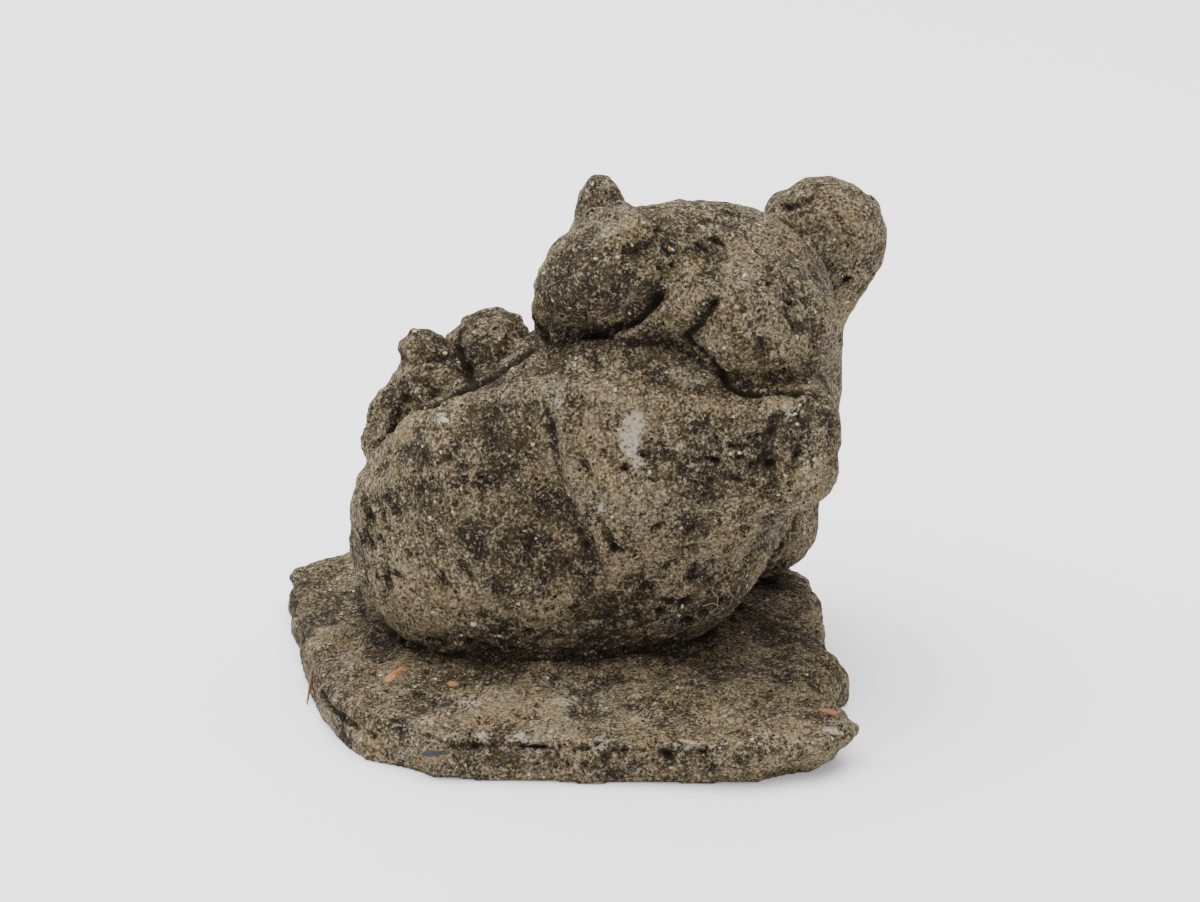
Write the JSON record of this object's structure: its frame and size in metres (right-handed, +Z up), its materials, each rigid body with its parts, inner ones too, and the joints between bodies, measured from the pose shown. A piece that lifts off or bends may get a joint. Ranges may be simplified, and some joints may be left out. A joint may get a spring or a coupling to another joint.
{
  "type": "mouse family garden statue",
  "caption": "Weathered cast concrete garden ornament: a curled mother mouse on a rough slab with a young mouse lying on her back.",
  "frame": {"origin": "middle of the box's underside, on the ground", "axes": "+Z up, -Y towards the viewer's side, +X along the slab's length towards the mother's muzzle"},
  "size_m": [0.1964, 0.1614, 0.1654],
  "materials": {
    "cast_stone": "rough, weathered"
  },
  "bodies": {
    "root": {"mouse_family_statue": "cast_stone"}
  },
  "joints": []
}
